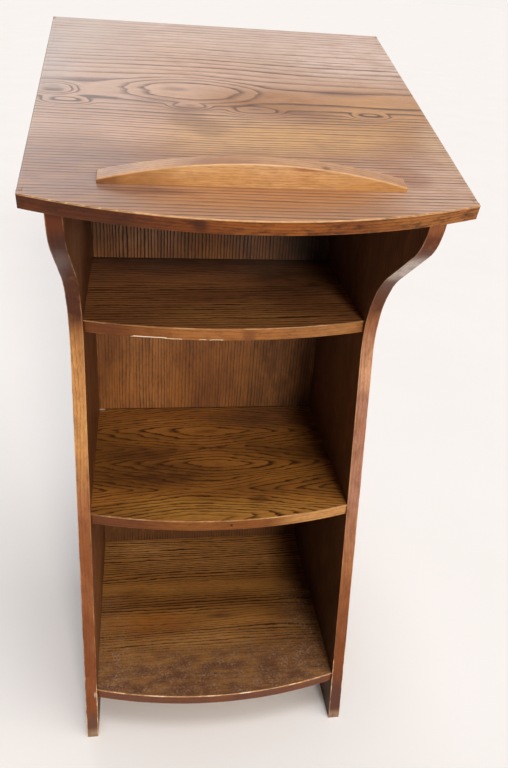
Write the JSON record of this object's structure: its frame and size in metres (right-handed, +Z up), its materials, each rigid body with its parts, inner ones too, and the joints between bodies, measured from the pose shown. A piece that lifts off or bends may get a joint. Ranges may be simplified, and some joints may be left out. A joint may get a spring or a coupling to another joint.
{
  "type": "atlas stand",
  "caption": "Free-standing reading stand: a sloped, bow-fronted top with a book stop on two flared side panels, over bowed shelves and a back panel.",
  "frame": {"origin": "on the floor, under the middle of the whole stand's box", "axes": "+Z up, +X to the reader's right, -Y towards the reader"},
  "size_m": [0.48, 0.5114, 1.0668],
  "materials": {
    "side_veneer": "dark oak veneer, satin lacquer",
    "shelf_veneer": "brown oak veneer, satin lacquer, scuffed",
    "back_veneer": "ribbed oak veneer, satin lacquer",
    "top_veneer": "oak veneer, satin lacquer",
    "edging_wood": "solid oak edging, satin lacquer, worn arrises",
    "stop_wood": "solid golden oak, satin lacquer",
    "plain_wood": "raw wood",
    "steel": "zinc-plated"
  },
  "bodies": {
    "root": {"left_side_panel": "side_veneer", "right_side_panel": "side_veneer", "left_side_edging": "edging_wood", "right_side_edging": "edging_wood", "upper_shelf": "shelf_veneer", "middle_shelf": "shelf_veneer", "bottom_shelf": "shelf_veneer", "upper_shelf_edging": "edging_wood", "middle_shelf_edging": "edging_wood", "bottom_shelf_edging": "edging_wood", "upper_shelf_dowels": "plain_wood", "middle_shelf_dowels": "plain_wood", "bottom_shelf_dowels": "plain_wood", "back_panel": "back_veneer", "back_panel_nails": "steel", "top_board": "top_veneer", "top_front_edging": "edging_wood", "top_left_edging": "edging_wood", "top_right_edging": "edging_wood", "top_rear_edging": "edging_wood", "book_stop": "stop_wood", "book_stop_screws": "steel", "left_top_cleat": "plain_wood", "right_top_cleat": "plain_wood", "rear_top_cleat": "plain_wood", "cleat_side_screws": "steel", "cleat_top_screws": "steel"}
  },
  "joints": []
}
